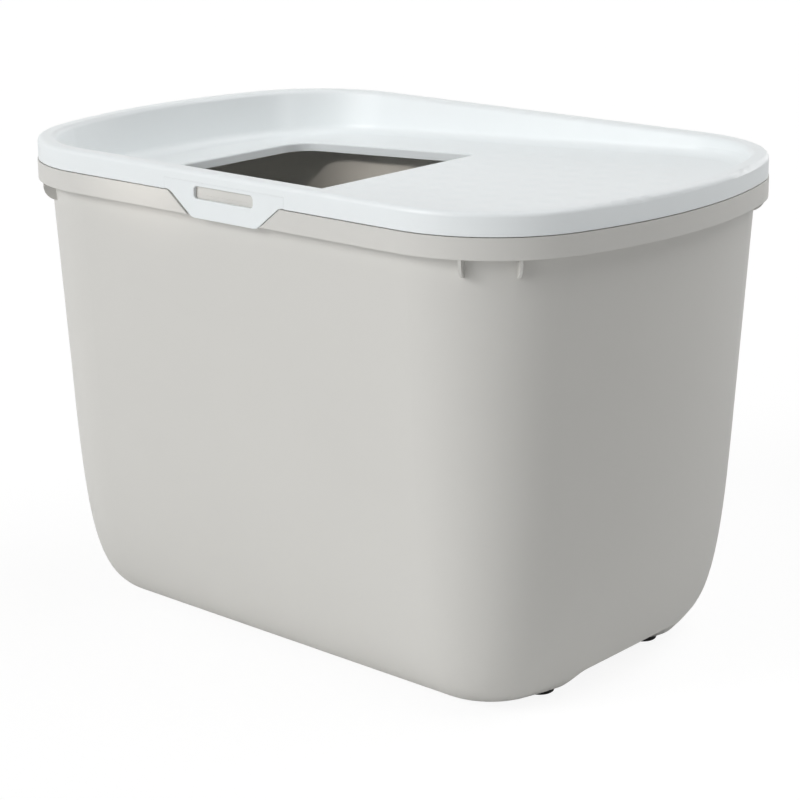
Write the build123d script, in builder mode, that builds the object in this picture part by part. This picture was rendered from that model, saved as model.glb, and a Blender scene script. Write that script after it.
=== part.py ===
from build123d import *

import os
from math import atan2, cos, degrees, radians, sin, sqrt, tan

# Top entry litter box, in millimetres, +Z up. X runs along the long side, the entry is at -X and the
# clip that is seen from the front is at -Y. The origin is on the floor, under the middle of the box.
# An inset is a distance inwards from the outer edge of the rim, in plan and square to that edge.
# A drop is a distance down from the edge or crest that its comment names.

# Overall size and plan shape
length = 585.0  # outside the rim, along X
depth = 390.0  # outside the rim, along Y
height = 396.5  # floor to the crest of the lid
corner_radius = 108.5  # plan corners at the rim
end_radius = 401.5  # the short ends are bowed to this radius

# Bin
wall = 2.6
draft_angle = 3.27  # the walls lean in towards the floor by this many degrees
wall_inset = 10.5  # outer wall just under the band
band_top_drop = 18.1  # from the crest of the lid
band_bottom_drop = 34.0  # from the crest of the lid
band_thickness = 2.2
band_edge_radius = 0.8
flange_thickness = 2.4
lip_inset = 3.6  # outer face of the locating lip that the lid drops over
lip_thickness = 2.4
lid_seat_gap = 0.3  # between the top of the lip and the lid that it carries
floor_height = 2.5  # underside of the plastic floor, carried by the rubber feet
floor_thickness = 3.0

# Bottom rounding, a cubic curve from the drafted wall to the flat of the floor
rounding_start = 170.0  # height where the wall begins to curve in
rounding_inset = 40.0  # from the wall line at the floor to the edge of the flat
rounding_wall_pull = 118.0  # how far the curve follows the wall
rounding_floor_pull = 36.0  # how far it follows the floor
rounding_end_angle = 15.0  # its slope where it meets the floor

# Hand grips: an arch under each short end, between the corners that stand on the feet
arch_top_half_width = 57.0
arch_foot_half_width = 103.0  # the flanks run out to here in a soft S
arch_height = 25.0  # at the outside of the wall
arch_start_inset = 79.0  # the arch's roof leaves the flat of the floor here
arch_full_inset = 43.5  # and has risen by the whole height here
arch_reach = 75.0  # it is drawn this long, so that it runs out past the wall

# Nesting ribs under the rim, two at each corner
rib_angles = (26.5, 49.5)  # round the corner, from the long side
rib_thickness = 2.2
rib_inset = 0.8  # outer edge of a rib, just inside the face of the band
rib_shoulder_drop = 4.0  # below the band, where a rib's straight outer edge rounds in to the wall
rib_nose_inset = 3.7
rib_nose_drop = 10.8  # below the band
rib_bottom_drop = 15.2  # below the band
rib_root_overlap = 1.2  # each rib runs this far into the wall and the flange

# Rubber feet
foot_radius = 12.0
foot_thickness = 4.0
foot_end_inset = 86.5  # centre of a foot from the short end
foot_side_inset = 126.0  # and from the long side
foot_pocket_gap = 0.3
foot_edge_radius = 1.0

# Lid
lid_inset = 0.6
lid_wall = 2.4
lid_gap = 0.7  # between the band and the lid's lower edge
crest_outer_radius = 4.0
crest_inner_radius = 5.0
dish_inset = 15.0  # inner edge of the crest
dish_taper = 14.0
dish_floor_radius = 10.0
deck_drop = 26.8  # from the crest to the top of the deck at X = 0
deck_slope = 3.15  # the deck falls towards the entry by this many degrees
dish_reach = 60.0  # the dish walls are drawn this deep, then the deck closes them

# Entry
entry_end_inset = 84.5  # from the short end
entry_length = 204.0
entry_half_width = 110.0
entry_left_radius = 24.0
entry_right_radius = 9.0
collar_depth = 8.0  # the collar turns down all round the entry
entry_edge_radius = 1.8

# Low pads on the deck, in a staggered grid, that knock litter off the paws
pad_diameter = 20.0
pad_height = 0.9
pad_row_pitch = 25.0
pad_entry_gap = 27.4  # from the entry to the first pad's centre in the middle row
pad_entry_margin = 12.0  # least distance from a pad's centre to the entry
pad_rim_margin = 58.0  # least distance from a pad's centre to the outer edge of the rim
pad_root = 0.3  # each pad runs this far into the deck

# Snap clips, in the middle of each long side
clip_top_half_width = 58.0
clip_bottom_half_width = 34.0
clip_bottom_drop = 2.2  # below the band
clip_corner_radius = 9.5
clip_root_half_width = 63.0
clip_root_drop = 8.5  # from the crest to the line where the clip bends away from the lid
clip_root_gap = 0.1  # between the clip and the lid along that line
clip_edge_radius = 0.7
clip_gap = 1.9  # round the clip's flanks, in the band
clip_back_gap = 0.4  # between the clip and the recess behind it
slot_half_width = 31.0
slot_drop = 3.0  # from the clip's root to the top of the slot
slot_height = 9.6
slot_corner_radius = 3.0
hook_reach = 1.4  # past the face of the recess
hook_half_width = 24.0
hook_gap = 0.3  # under the recess wall
recess_wall = 2.2

# Heights and places that follow from the sizes
band_top = height - band_top_drop
band_bottom = height - band_bottom_drop
lid_bottom = band_top + lid_gap
recess_inset = lid_inset + lid_wall + clip_back_gap
flange_under = band_top - flange_thickness
lip_top = height - lid_wall - lid_seat_gap
rib_shoulder = band_bottom - rib_shoulder_drop
rib_nose_height = band_bottom - rib_nose_drop
rib_bottom = band_bottom - rib_bottom_drop
arch_start = length / 2 - arch_start_inset
arch_full = length / 2 - arch_full_inset
foot_x = length / 2 - foot_end_inset
foot_y = depth / 2 - foot_side_inset
deck_height = height - deck_drop
entry_left = entry_end_inset - length / 2
entry_right = entry_left + entry_length
clip_bottom = band_bottom - clip_bottom_drop
clip_root = height - clip_root_drop
slot_top = clip_root - slot_drop
slot_bottom = slot_top - slot_height
slope = tan(radians(deck_slope))
clear = 1.0  # how far a cut runs past the surface it opens


def wall_inset_at(z):
    """Inset of the bin's outer wall at a height, before the bottom rounding."""
    return wall_inset + (band_bottom - z) * tan(radians(draft_angle))


def plan_line(inset):
    """Closed outline of the box in plan: straight long sides, round corners, bowed short ends."""
    half_length = length / 2 - inset
    half_depth = depth / 2 - inset
    corner = corner_radius - inset
    end = end_radius - inset
    end_x = half_length - end
    corner_x = end_x + sqrt((end - corner) ** 2 - (half_depth - corner) ** 2)
    turn = degrees(atan2(half_depth - corner, corner_x - end_x))
    with BuildLine() as outline:
        Line((0, -half_depth), (corner_x, -half_depth))
        CenterArc((corner_x, corner - half_depth), corner, 270, 90 - turn)
        CenterArc((end_x, 0), end, -turn, 2 * turn)
        CenterArc((corner_x, half_depth - corner), corner, turn, 90 - turn)
        Line((corner_x, half_depth), (0, half_depth))
        mirror(about=Plane.YZ)
    return outline


def plan_face(inset, z):
    """The same outline as a face at a height."""
    with BuildSketch(Plane.XY.offset(z)) as face:
        add(plan_line(inset).line)
        make_face()
    return face


def corner_point(inset, angle):
    """Point at an inset on the front right corner, by its angle round from the long side."""
    half_depth = depth / 2 - inset
    corner = corner_radius - inset
    end = end_radius - inset
    end_x = length / 2 - inset - end
    corner_x = end_x + sqrt((end - corner) ** 2 - (half_depth - corner) ** 2)
    turn = radians(angle)
    return Vector(corner_x + corner * sin(turn), corner - half_depth - corner * cos(turn), 0)


def front_plane(inset):
    """Plane facing the front at an inset: local x is X and local y is Z."""
    return Plane(origin=(0, inset - depth / 2, 0), x_dir=(1, 0, 0), z_dir=(0, -1, 0))


def deck_plane(drop, x=0, y=0):
    """Plane of the sloping deck, or one below it, with its origin at a place in plan."""
    return Plane(origin=(x, y, deck_height - drop + x * slope), x_dir=(1, 0, slope), z_dir=(-slope, 0, 1))


def clip_outline(grow, top, bottom):
    """Trapezoid of the clip seen from the front, grown sideways and cut at two heights."""
    lean = (clip_top_half_width - clip_bottom_half_width) / (lid_bottom - clip_bottom)
    top_half = clip_bottom_half_width + grow + (top - clip_bottom) * lean
    bottom_half = clip_bottom_half_width + grow + (bottom - clip_bottom) * lean
    return [(-top_half, top), (top_half, top), (bottom_half, bottom), (-bottom_half, bottom)]


def entry_face(grow, z):
    """Outline of the entry at a height, grown outwards."""
    with BuildSketch(Plane.XY.offset(z)) as face:
        with Locations(((entry_left + entry_right) / 2, 0)):
            Rectangle(entry_right - entry_left + 2 * grow, 2 * (entry_half_width + grow))
        fillet(face.vertices().group_by(Axis.X)[0], radius=entry_left_radius + grow)
        fillet(face.vertices().group_by(Axis.X)[-1], radius=entry_right_radius + grow)
    return face


def dish_block(inset, drop, floor_radius):
    """Tapered block that reaches down from the crest and ends on the deck, or below it."""
    with BuildPart() as block:
        extrude(plan_face(inset, height).sketch, amount=-dish_reach, taper=dish_taper)
        split(bisect_by=deck_plane(drop), keep=Keep.TOP)
        fillet(block.faces().sort_by(Axis.Z)[0].edges(), radius=floor_radius)
    return block


# ---------------------------------------------------------------- bin
# One section of the wall and rim, swept round the plan. Local x is the inset and local y is the height.
section_plane = Plane(origin=(0, -depth / 2, 0), x_dir=(0, 1, 0), z_dir=(1, 0, 0))
flat_inset = wall_inset_at(floor_height) + rounding_inset
round_drop = Vector(sin(radians(draft_angle)), -cos(radians(draft_angle)))
round_rise = Vector(-cos(radians(rounding_end_angle)), sin(radians(rounding_end_angle)))
outer_top = Vector(wall_inset_at(rounding_start), rounding_start)
outer_end = Vector(flat_inset, floor_height)
inner_top = outer_top + Vector(wall, 0)
inner_end = outer_end + Vector(0, floor_thickness)

# Everything that lies inside the outer surface, below the start of the rounding
with BuildPart() as lower_envelope:
    with BuildLine() as envelope_line:
        add(plan_line(0).line)
    with BuildSketch(section_plane):
        with BuildLine():
            Bezier(
                outer_end,
                outer_end + round_rise * rounding_floor_pull,
                outer_top + round_drop * rounding_wall_pull,
                outer_top,
            )
            Polyline(outer_top, (flat_inset, rounding_start), outer_end)
        make_face()
    sweep(path=envelope_line.wire())
    extrude(plan_face(flat_inset, floor_height).sketch, amount=rounding_start - floor_height)

# Each arch is a soft outline pushed outwards along a rising line, so that it grows out of the floor
arch_rise = atan2(arch_height, arch_full - arch_start)
arch_plane = Plane(
    origin=(arch_start, 0, floor_height),
    x_dir=(0, 1, 0),
    z_dir=(cos(arch_rise), 0, sin(arch_rise)),
)


def arch_solids(grow):
    """The two arches, or with a growth the same shapes raised by the thickness of the floor."""
    flank = (arch_foot_half_width - arch_top_half_width) / 2
    foot_level = grow - arch_height
    with BuildPart() as arches:
        with BuildSketch(arch_plane):
            with BuildLine():
                Line((0, grow), (arch_top_half_width, grow))
                Bezier(
                    (arch_top_half_width, grow),
                    (arch_top_half_width + flank, grow),
                    (arch_foot_half_width - flank, foot_level),
                    (arch_foot_half_width, foot_level),
                )
                Polyline(
                    (arch_foot_half_width, foot_level),
                    (arch_foot_half_width, -2 * arch_height),
                    (0, -2 * arch_height),
                )
                mirror(about=Plane.YZ)
            make_face()
        extrude(amount=arch_reach)
        mirror(about=Plane.YZ)
    return arches


with BuildPart() as arch_covers:
    add(lower_envelope.part)
    add(arch_solids(floor_thickness).part, mode=Mode.INTERSECT)

# Two ribs stand under the rim at each corner. Local x is the inset and local y is the height.
with BuildPart() as ribs:
    for angle in rib_angles:
        rib_foot = corner_point(0, angle)
        inward = Vector(-sin(radians(angle)), cos(radians(angle)), 0)
        with BuildSketch(Plane(origin=rib_foot, x_dir=inward, z_dir=inward.cross(Vector(0, 0, 1)))):
            with BuildLine():
                Polyline(
                    (wall_inset_at(rib_bottom) + rib_root_overlap, rib_bottom),
                    (wall_inset_at(flange_under) + rib_root_overlap, flange_under + rib_root_overlap),
                    (rib_inset, flange_under + rib_root_overlap),
                    (rib_inset, rib_shoulder),
                )
                ThreePointArc(
                    (rib_inset, rib_shoulder),
                    (rib_nose_inset, rib_nose_height),
                    (wall_inset_at(rib_bottom) + rib_root_overlap, rib_bottom),
                )
            make_face()
        extrude(amount=rib_thickness / 2, both=True)
    mirror(about=Plane.YZ)
    mirror(about=Plane.XZ)

# Behind each clip the band steps inwards, and its lower edge is what the hook catches under
with BuildPart() as recess_blocks:
    with BuildSketch(front_plane(band_thickness / 2)):
        Polygon(*clip_outline(clip_gap + recess_wall, flange_under, band_bottom), align=None)
    extrude(amount=band_thickness / 2 - recess_inset - recess_wall)
    mirror(about=Plane.XZ)

with BuildPart() as recess_cuts:
    with BuildSketch(front_plane(-clear)):
        Polygon(*clip_outline(clip_gap, lid_bottom, clip_bottom), align=None)
    extrude(amount=-clear - recess_inset)
    mirror(about=Plane.XZ)

with BuildPart() as bin_body:
    with BuildLine() as rim_line:
        add(plan_line(0).line)
    with BuildSketch(section_plane) as wall_section:
        with BuildLine():
            Polyline(
                outer_top,
                (wall_inset_at(flange_under), flange_under),
                (band_thickness, flange_under),
                (band_thickness, band_bottom),
                (0, band_bottom),
                (0, band_top),
                (lip_inset, band_top),
                (lip_inset, lip_top),
                (lip_inset + lip_thickness, lip_top),
                (lip_inset + lip_thickness, band_top),
                (wall_inset_at(band_top) + wall, band_top),
                inner_top,
            )
            Bezier(
                inner_top,
                inner_top + round_drop * (rounding_wall_pull - wall),
                inner_end + round_rise * (rounding_floor_pull - wall),
                inner_end,
            )
            Line(inner_end, outer_end)
            Bezier(
                outer_end,
                outer_end + round_rise * rounding_floor_pull,
                outer_top + round_drop * rounding_wall_pull,
                outer_top,
            )
        make_face()
        fillet(wall_section.vertices().group_by(Axis.Y)[0], radius=band_edge_radius)
    sweep(path=rim_line.wire())
    extrude(plan_face(flat_inset, floor_height).sketch, amount=floor_thickness)
    add(arch_covers.part)
    add(ribs.part)
    add(recess_blocks.part)
    add(arch_solids(0).part, mode=Mode.SUBTRACT)
    add(recess_cuts.part, mode=Mode.SUBTRACT)
    with BuildSketch(Plane.XY):
        with GridLocations(2 * foot_x, 2 * foot_y, 2, 2):
            Circle(foot_radius + foot_pocket_gap)
    extrude(amount=foot_thickness, mode=Mode.SUBTRACT)
bin_body.part.label = "bin"

# ---------------------------------------------------------------- feet
with BuildPart() as foot:
    Cylinder(foot_radius, foot_thickness, align=(Align.CENTER, Align.CENTER, Align.MIN))
    fillet(foot.edges().filter_by(GeomType.CIRCLE).group_by(Axis.Z)[0], radius=foot_edge_radius)

# ---------------------------------------------------------------- lid
# A shell that drops over the bin's lip, with a dish sunk inside its crest
dish_shell_inset = dish_inset - lid_wall / cos(radians(dish_taper))
notch_half_width = clip_root_half_width + clip_root_gap

with BuildPart() as collar:
    extrude(entry_face(lid_wall, deck_height - dish_reach).sketch, amount=2 * dish_reach)
    split(bisect_by=deck_plane(collar_depth), keep=Keep.TOP)
    split(bisect_by=deck_plane(lid_wall / 2), keep=Keep.BOTTOM)

with BuildPart() as clip_notches:
    with BuildSketch(front_plane(-clear)):
        with Locations((0, clip_root)):
            Rectangle(2 * notch_half_width, clip_root - lid_bottom + clear, align=(Align.CENTER, Align.MAX))
    extrude(amount=-lid_inset - lid_wall - 2 * clear)
    mirror(about=Plane.XZ)

# One pad is the top of a flat sphere
pad_sphere_radius = (pad_diameter**2 / 4 + pad_height**2) / (2 * pad_height)
with BuildPart() as pad:
    with Locations((0, 0, pad_height - pad_sphere_radius)):
        Sphere(pad_sphere_radius)
    split(bisect_by=Plane.XY.offset(-pad_root), keep=Keep.TOP)

# The pads stand on the deck in a triangular grid that stays clear of the entry and of the rim
pad_pitch = pad_row_pitch / cos(radians(30))
pad_rows = int(depth / 2 / pad_row_pitch)
pad_columns = int(length / pad_pitch)
pad_field = plan_face(pad_rim_margin, 0).sketch.face()
pad_places = []
for row in range(-pad_rows, pad_rows + 1):
    for column in range(-pad_columns, pad_columns + 1):
        along = entry_right + pad_entry_gap + (column + (row % 2) / 2) * pad_pitch
        across = row * pad_row_pitch
        if along > entry_right + pad_entry_margin and pad_field.is_inside(Vector(along, across, 0)):
            pad_places.append(deck_plane(0, along, across))

with BuildPart() as lid:
    extrude(plan_face(lid_inset, lid_bottom).sketch, amount=height - lid_bottom)
    fillet(lid.edges().group_by(Axis.Z)[-1], radius=crest_outer_radius)
    extrude(
        plan_face(lid_inset + lid_wall, lid_bottom).sketch,
        amount=height - lid_wall - lid_bottom,
        mode=Mode.SUBTRACT,
    )
    add(dish_block(dish_shell_inset, lid_wall, dish_floor_radius + lid_wall).part)
    add(dish_block(dish_inset, 0, dish_floor_radius).part, mode=Mode.SUBTRACT)
    fillet(lid.faces().sort_by(Axis.Z)[-1].inner_wires()[0].edges(), radius=crest_inner_radius)
    add(collar.part)
    extrude(
        entry_face(0, deck_height - dish_reach).sketch,
        amount=2 * dish_reach,
        mode=Mode.SUBTRACT,
    )
    add(clip_notches.part, mode=Mode.SUBTRACT)
    entry_edges = lid.edges().filter_by(
        lambda e: entry_left - clear < e.center().X < entry_right + clear
        and abs(e.center().Y) < entry_half_width + clear
        and abs(deck_plane(0).to_local_coords(e.center()).Z) < entry_edge_radius / 2
    )
    fillet(entry_edges, radius=entry_edge_radius)
    with Locations(*pad_places):
        add(pad.part)
lid.part.label = "lid"

# ---------------------------------------------------------------- clips
# Each clip hangs from the lid's skirt, lies in the recess of the band and hooks under it
hook_top = band_bottom - hook_gap

with BuildPart() as front_clip:
    with BuildSketch(front_plane(lid_inset)) as clip_face:
        with BuildLine():
            Polyline(
                (-clip_root_half_width, lid_bottom),
                (-clip_root_half_width, clip_root - clip_root_gap),
                (clip_root_half_width, clip_root - clip_root_gap),
                (clip_root_half_width, lid_bottom),
                (clip_top_half_width, lid_bottom),
                (clip_bottom_half_width, clip_bottom),
                (-clip_bottom_half_width, clip_bottom),
                (-clip_top_half_width, lid_bottom),
                close=True,
            )
        make_face()
        fillet(
            clip_face.vertices().filter_by(lambda v: abs(v.X) < clip_top_half_width + clear),
            radius=clip_corner_radius,
        )
        with Locations((0, (slot_top + slot_bottom) / 2)):
            RectangleRounded(
                2 * slot_half_width,
                slot_top - slot_bottom,
                slot_corner_radius,
                mode=Mode.SUBTRACT,
            )
    extrude(amount=-lid_wall)
    outer_edges = front_clip.faces().sort_by(Axis.Y)[0].edges()
    fillet(
        outer_edges.filter_by(
            lambda e: e.center().Z < clip_root - clear and abs(e.center().X) < clip_root_half_width - clear
        ),
        radius=clip_edge_radius,
    )
    with BuildSketch(front_plane(lid_inset + lid_wall / 2)):
        with Locations((0, clip_bottom)):
            Rectangle(2 * hook_half_width, hook_top - clip_bottom, align=(Align.CENTER, Align.MIN))
    extrude(amount=lid_inset + lid_wall / 2 - recess_inset - hook_reach)
front_clip.part.label = "front_clip"

with BuildPart() as rear_clip:
    mirror(front_clip.part, about=Plane.XZ)
rear_clip.part.label = "rear_clip"

# ---------------------------------------------------------------- files
os.makedirs("parts", exist_ok=True)
export_step(bin_body.part, "parts/bin.step")
export_step(lid.part, "parts/lid.step")
export_step(front_clip.part, "parts/front_clip.step")
export_step(rear_clip.part, "parts/rear_clip.step")
feet = {
    "foot_front_left": (-foot_x, -foot_y),
    "foot_front_right": (foot_x, -foot_y),
    "foot_rear_left": (-foot_x, foot_y),
    "foot_rear_right": (foot_x, foot_y),
}
for foot_name, foot_place in feet.items():
    placed_foot = Pos(*foot_place) * foot.part
    placed_foot.label = foot_name
    export_step(placed_foot, f"parts/{foot_name}.step")
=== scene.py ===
# %% [markdown]
# # A top entry litter box
# A deep bin of greige plastic, closed by a white lid. The lid is a shallow dish with an opening that
# the cat climbs through and a field of low pads that knock the litter off its paws. A clip in the
# middle of each long side holds the lid down, and four rubber feet carry the whole.
#
# The shape itself comes from the solid model, which is loaded first as a fixed frame in metres. This
# script adds what the solid model has no words for: camera, light, floor, and the look of the plastic.
# In Blender such a box could also be modelled by sweeping a section round a rounded rectangle with a
# curve's bevel object. Here the solid model has done that, so its meshes are only dressed.

from math import cos, radians, sin

import bpy
from mathutils import Matrix, Vector

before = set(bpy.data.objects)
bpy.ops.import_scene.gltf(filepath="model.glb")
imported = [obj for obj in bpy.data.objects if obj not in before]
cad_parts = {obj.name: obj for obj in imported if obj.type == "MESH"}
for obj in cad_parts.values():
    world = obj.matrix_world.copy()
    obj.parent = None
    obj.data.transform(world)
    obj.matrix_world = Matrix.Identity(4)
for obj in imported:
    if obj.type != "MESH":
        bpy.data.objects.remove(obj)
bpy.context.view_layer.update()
print("nodes:", sorted(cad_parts))

# %% [markdown]
# ## Camera
# The picture was taken from the front right corner, a little above the rim, with a long lens. A long
# lens keeps the box's edges nearly parallel. The camera could be aimed with a Track To constraint, but
# building its axes by hand also allows the small tilt that a hand-held camera has.

# %% Camera
# Angles are written in degrees and distances in metres; the lens and the sensor are in millimetres.
# The azimuth runs from the front of the box round towards the right.
camera_azimuth = radians(41.14)
camera_elevation = radians(16.02)
camera_roll = radians(-0.33)
camera_distance = 1.8462
aim = Vector((0, 0, 0.1975))

back = Vector(
    (
        sin(camera_azimuth) * cos(camera_elevation),
        -cos(camera_azimuth) * cos(camera_elevation),
        sin(camera_elevation),
    )
)
level_right = Vector((cos(camera_azimuth), sin(camera_azimuth), 0))
level_up = back.cross(level_right)
right = level_right * cos(camera_roll) + level_up * sin(camera_roll)
up = level_up * cos(camera_roll) - level_right * sin(camera_roll)

camera_data = bpy.data.cameras.new("camera")
camera_data.sensor_width = 36.0
camera_data.lens = 99.99
camera_data.shift_x = 0.0059
camera_data.shift_y = -0.0278
camera = bpy.data.objects.new("camera", camera_data)
camera.matrix_world = Matrix.Translation(aim + back * camera_distance) @ Matrix(
    (right, up, back)
).transposed().to_4x4()
bpy.context.scene.collection.objects.link(camera)
bpy.context.scene.camera = camera
print("camera at", tuple(round(v, 3) for v in camera.matrix_world.translation))

# %% [markdown]
# ## The white room
# A product like this is photographed in a white room. Plastic with a satin skin shows that room in its
# gloss, so the world is white for the camera and for reflections. For everything else it gives only a
# trace of light: a world that lights the box from every side at once would take away its form. The
# Light Path node tells the two kinds of ray apart.

# %% World
scene = bpy.context.scene
scene.view_settings.view_transform = "Standard"
scene.world = bpy.data.worlds.new("studio")
scene.world.use_nodes = True
studio = scene.world.node_tree
studio.nodes.clear()
studio_rays = studio.nodes.new("ShaderNodeLightPath")
seen_rays = studio.nodes.new("ShaderNodeMath")
seen_rays.operation = "MAXIMUM"
bent_rays = studio.nodes.new("ShaderNodeMath")
bent_rays.operation = "MAXIMUM"
fill_light = studio.nodes.new("ShaderNodeBackground")
fill_light.inputs["Color"].default_value = (0.96, 0.98, 1.0, 1)
fill_light.inputs["Strength"].default_value = 0.02
white_studio = studio.nodes.new("ShaderNodeBackground")
white_studio.inputs["Color"].default_value = (1, 1, 1, 1)
white_studio.inputs["Strength"].default_value = 1.0
studio_mix = studio.nodes.new("ShaderNodeMixShader")
studio_out = studio.nodes.new("ShaderNodeOutputWorld")
studio.links.new(studio_rays.outputs["Is Glossy Ray"], bent_rays.inputs[0])
studio.links.new(studio_rays.outputs["Is Transmission Ray"], bent_rays.inputs[1])
studio.links.new(studio_rays.outputs["Is Camera Ray"], seen_rays.inputs[0])
studio.links.new(bent_rays.outputs[0], seen_rays.inputs[1])
studio.links.new(seen_rays.outputs[0], studio_mix.inputs["Fac"])
studio.links.new(fill_light.outputs[0], studio_mix.inputs[1])
studio.links.new(white_studio.outputs[0], studio_mix.inputs[2])
studio.links.new(studio_mix.outputs[0], studio_out.inputs["Surface"])
print("world:", scene.world.name, len(studio.nodes), "nodes")

# %% [markdown]
# ## A helper for lamps
# It is easier to think of a lamp by where it stands than by its rotation. So a lamp is placed by two
# angles: its azimuth, from the front of the box round towards the right, and its height above the
# horizon. A lamp shines along its own -Z axis, and to_track_quat turns that axis to the box. Light
# linking lets a lamp shine on one collection alone, like a card that a photographer holds over one spot.

# %% Lamp helper
card_distance = 2.0  # metres from a card to what it lights


def towards_light(azimuth, elevation):
    """Direction to a lamp, by its angle round from the front towards the right and its height."""
    azimuth, elevation = radians(azimuth), radians(elevation)
    return Vector(
        (sin(azimuth) * cos(elevation), -cos(azimuth) * cos(elevation), sin(elevation))
    )


def lamp(name, kind, direction, strength):
    """A lamp of a kind that shines against the direction it stands in."""
    data = bpy.data.lights.new(name, kind)
    data.energy = strength
    lamp_object = bpy.data.objects.new(name, data)
    lamp_object.rotation_mode = "QUATERNION"
    lamp_object.rotation_quaternion = (-direction).to_track_quat("-Z", "Y")
    scene.collection.objects.link(lamp_object)
    return lamp_object


def card(name, target, azimuth, elevation, strength, cone, radius, node_name):
    """A soft spot that is aimed at a target and lights one node alone.

    The cone's full angle is in degrees and the radius, which softens its shadow, in metres.
    """
    side = towards_light(azimuth, elevation)
    spot = lamp(name, "SPOT", side, strength)
    spot.location = target + side * card_distance
    spot.data.spot_size = radians(cone)
    spot.data.spot_blend = 1.0
    spot.data.shadow_soft_size = radius
    lit = bpy.data.collections.new(name + "_lights")
    lit.objects.link(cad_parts[node_name])
    spot.light_linking.receiver_collection = lit
    return spot


# %% [markdown]
# ## Softboxes
# The long side and the lid are bright and the short end is half as bright, so the main light stands to
# the front left. It is the key, and it is made of two suns: a wide one for the soft roll of light round
# the corner, and a narrower one that gives the ribs under the rim and the pads on the deck their small
# shadows. A sun lamp has the same strength everywhere, and its angle sets how soft its shadows are.
# Weaker suns from above and behind stand for the ceiling and the back wall of the room.

# %% Softboxes
# Name; azimuth, elevation and angle in degrees; strength in watts per square metre
softboxes = (
    ("front_softbox", -18, 15, 50, 1.36),
    ("front_key", -27, 30, 20, 0.85),
    ("top_softbox", 0, 88, 50, 0.30),
    ("rear_top_softbox", 130, 60, 50, 1.10),
    ("rear_softbox", 175, 15, 50, 0.80),
)
for softbox_name, azimuth, elevation, angle, strength in softboxes:
    softbox = lamp(softbox_name, "SUN", towards_light(azimuth, elevation), strength)
    softbox.data.angle = radians(angle)
print("softboxes:", [softbox[0] for softbox in softboxes])

# %% [markdown]
# ## Cards
# Two small spots do what white cards do in a studio. One lifts the left end of the dish, which the
# front crest would leave grey. The other sends a little warm light over the crest and through the entry
# onto the inside of the far wall, so that the opening reads as a hollow and not as a black shape. Its
# cone is narrow, so that it passes above the front of the bin.

# %% Cards
dish_left_end = Vector((-0.21, 0.05, 0.37))
far_wall_inside = Vector((-0.165, 0.18, 0.31))
warm_white = (1.0, 0.93, 0.86)
card(
    "dish_card",
    dish_left_end,
    azimuth=75,
    elevation=25,
    strength=34,
    cone=13,
    radius=0.15,
    node_name="lid",
)
entry_card = card(
    "entry_card",
    far_wall_inside,
    azimuth=12,
    elevation=17.5,
    strength=72,
    cone=4.8,
    radius=0.05,
    node_name="bin",
)
entry_card.data.color = warm_white

# %% [markdown]
# ## Floor
# The box stands on a white sweep. A diffuse plane takes the soft shadow, and white emission that only
# the camera sees lifts the open floor to the white of the backdrop without lighting the box.

# %% Floor
floor_reach = 20.0  # metres from the box to the edge of the sweep
floor_corners = [
    (x * floor_reach, y * floor_reach, 0) for x, y in ((-1, -1), (1, -1), (1, 1), (-1, 1))
]
floor_mesh = bpy.data.meshes.new("floor")
floor_mesh.from_pydata(floor_corners, [], [(0, 1, 2, 3)])
floor = bpy.data.objects.new("floor", floor_mesh)
scene.collection.objects.link(floor)
floor_paint = bpy.data.materials.new("floor_paint")
floor_paint.use_nodes = True
floor_tree = floor_paint.node_tree
floor_tree.nodes.clear()
floor_diffuse = floor_tree.nodes.new("ShaderNodeBsdfDiffuse")
floor_diffuse.inputs["Color"].default_value = (0.93, 0.93, 0.93, 1)
floor_glow = floor_tree.nodes.new("ShaderNodeEmission")
floor_glow.inputs["Strength"].default_value = 1.06
floor_rays = floor_tree.nodes.new("ShaderNodeLightPath")
floor_veil = floor_tree.nodes.new("ShaderNodeMath")
floor_veil.operation = "MULTIPLY"
floor_veil.inputs[1].default_value = 0.85
floor_mix = floor_tree.nodes.new("ShaderNodeMixShader")
floor_out = floor_tree.nodes.new("ShaderNodeOutputMaterial")
floor_tree.links.new(floor_rays.outputs["Is Camera Ray"], floor_veil.inputs[0])
floor_tree.links.new(floor_veil.outputs[0], floor_mix.inputs["Fac"])
floor_tree.links.new(floor_diffuse.outputs[0], floor_mix.inputs[1])
floor_tree.links.new(floor_glow.outputs[0], floor_mix.inputs[2])
floor_tree.links.new(floor_mix.outputs[0], floor_out.inputs["Surface"])
floor_mesh.materials.append(floor_paint)
print("floor:", tuple(round(v, 2) for v in floor.dimensions))

# %% [markdown]
# ## The skin of a moulding
# Bin, lid and clips are injection moulded polypropylene. The steel mould is spark eroded, so the plastic
# comes out with a fine grain, less than half a millimetre from peak to peak, and the melt leaves faint
# clouds a hand wide where it flowed and cooled. A node group holds that pattern once for every plastic.
# Its sockets are named for what they mean, and the noises are driven by Object coordinates in metres, so
# the grain has its real size on a small clip and on the large bin alike. An image texture could hold
# such a grain too, but it would need an unwrapped mesh and would blur close up.

# %% Group: moulded skin


def value_socket(group, name, side, default=None):
    """Adds an input with a default, or an output, to a shader group."""
    socket = group.interface.new_socket(name=name, in_out=side, socket_type="NodeSocketFloat")
    if default is not None:
        socket.default_value = default
    return socket


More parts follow.
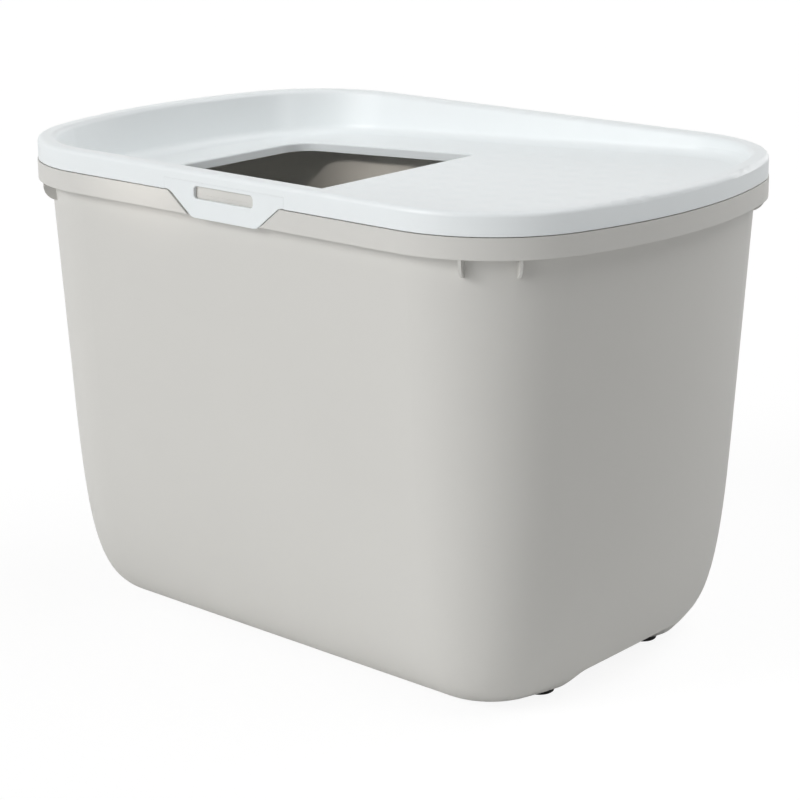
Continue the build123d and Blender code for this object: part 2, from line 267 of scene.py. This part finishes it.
moulded_skin = bpy.data.node_groups.new("moulded_skin", "ShaderNodeTree")
value_socket(moulded_skin, "Grain per metre", "INPUT", 2200.0)
value_socket(moulded_skin, "Clouds per metre", "INPUT", 9.0)
value_socket(moulded_skin, "Grain height", "OUTPUT")
value_socket(moulded_skin, "Clouds", "OUTPUT")
skin_in = moulded_skin.nodes.new("NodeGroupInput")
skin_out = moulded_skin.nodes.new("NodeGroupOutput")
skin_place = moulded_skin.nodes.new("ShaderNodeTexCoord")
grain_noise = moulded_skin.nodes.new("ShaderNodeTexNoise")
grain_noise.inputs["Detail"].default_value = 3
cloud_noise = moulded_skin.nodes.new("ShaderNodeTexNoise")
cloud_noise.inputs["Detail"].default_value = 4
cloud_noise.inputs["Roughness"].default_value = 0.55
moulded_skin.links.new(skin_place.outputs["Object"], grain_noise.inputs["Vector"])
moulded_skin.links.new(skin_place.outputs["Object"], cloud_noise.inputs["Vector"])
moulded_skin.links.new(skin_in.outputs["Grain per metre"], grain_noise.inputs["Scale"])
moulded_skin.links.new(skin_in.outputs["Clouds per metre"], cloud_noise.inputs["Scale"])
moulded_skin.links.new(grain_noise.outputs["Fac"], skin_out.inputs["Grain height"])
moulded_skin.links.new(cloud_noise.outputs["Fac"], skin_out.inputs["Clouds"])
print("group:", moulded_skin.name, [s.name for s in moulded_skin.interface.items_tree])

# %% [markdown]
# ## A material for any moulded piece
# A real plastic is never one flat colour. Here the clouds mix two tones a few hundredths apart, and the
# same clouds move the roughness a little, so that a highlight breaks up softly when the box is turned.
# The grain goes through a Bump node: it tilts the normals for the light without moving the mesh, which
# has to keep the shape of the solid model. The bump's distance is the real depth of the grain in metres.

# %% Plastic material


def plastic(name, light_tone, dark_tone, smooth, rough, grain_depth, specular):
    """A moulded plastic: two close tones and two close roughnesses, mixed by the clouds."""
    material = bpy.data.materials.new(name)
    material.use_nodes = True
    tree = material.node_tree
    shader = tree.nodes["Principled BSDF"]
    skin = tree.nodes.new("ShaderNodeGroup")
    skin.node_tree = moulded_skin
    tone = tree.nodes.new("ShaderNodeMix")
    tone.data_type = "RGBA"
    tone.inputs["A"].default_value = (*dark_tone, 1)
    tone.inputs["B"].default_value = (*light_tone, 1)
    gloss = tree.nodes.new("ShaderNodeMapRange")
    gloss.inputs["From Min"].default_value = 0.3
    gloss.inputs["From Max"].default_value = 0.7
    gloss.inputs["To Min"].default_value = smooth
    gloss.inputs["To Max"].default_value = rough
    grain = tree.nodes.new("ShaderNodeBump")
    grain.inputs["Distance"].default_value = grain_depth
    shader.inputs["Specular IOR Level"].default_value = specular
    tree.links.new(skin.outputs["Clouds"], tone.inputs["Factor"])
    tree.links.new(tone.outputs["Result"], shader.inputs["Base Color"])
    tree.links.new(skin.outputs["Clouds"], gloss.inputs["Value"])
    tree.links.new(gloss.outputs["Result"], shader.inputs["Roughness"])
    tree.links.new(skin.outputs["Grain height"], grain.inputs["Height"])
    tree.links.new(grain.outputs["Normal"], shader.inputs["Normal"])
    return material


# %% [markdown]
# ## Three finishes
# The bin is a warm greige, matt enough that the window of a room would be only a glow on it. The lid and
# its clips are a cold white with a finer grain, so they shine a little more. White plastic is never
# written as 1: it returns about nine tenths of the light, and a higher value would burn out. The feet
# are a soft rubber, nearly black and rough, with a deeper grain so that they grip.

# %% Finishes
# Roughness runs from smooth to rough; the grain's depth is in metres
bin_plastic = plastic(
    "bin_plastic",
    light_tone=(0.682, 0.674, 0.644),
    dark_tone=(0.662, 0.654, 0.624),
    smooth=0.42,
    rough=0.50,
    grain_depth=0.00002,
    specular=0.4,
)
lid_plastic = plastic(
    "lid_plastic",
    light_tone=(0.875, 0.912, 0.922),
    dark_tone=(0.861, 0.899, 0.909),
    smooth=0.30,
    rough=0.38,
    grain_depth=0.00001,
    specular=0.45,
)
foot_rubber = plastic(
    "foot_rubber",
    light_tone=(0.035, 0.035, 0.034),
    dark_tone=(0.022, 0.022, 0.022),
    smooth=0.65,
    rough=0.80,
    grain_depth=0.00004,
    specular=0.4,
)
print("finishes:", bin_plastic.name, lid_plastic.name, foot_rubber.name)

# %% [markdown]
# ## Dressing the pieces
# Every node of the solid model brought one empty material slot. The finish goes into that slot, so the
# meshes stay as they are. Anything that is neither bin, lid nor clip is a foot.

# %% Dress the pieces
node_finish = {
    "bin": bin_plastic,
    "lid": lid_plastic,
    "front_clip": lid_plastic,
    "rear_clip": lid_plastic,
}
for node_name, node_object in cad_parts.items():
    finish = node_finish.get(node_name, foot_rubber)
    for material_slot in node_object.material_slots:
        material_slot.material = finish
    print(node_name, "->", finish.name, len(node_object.data.polygons), "faces")
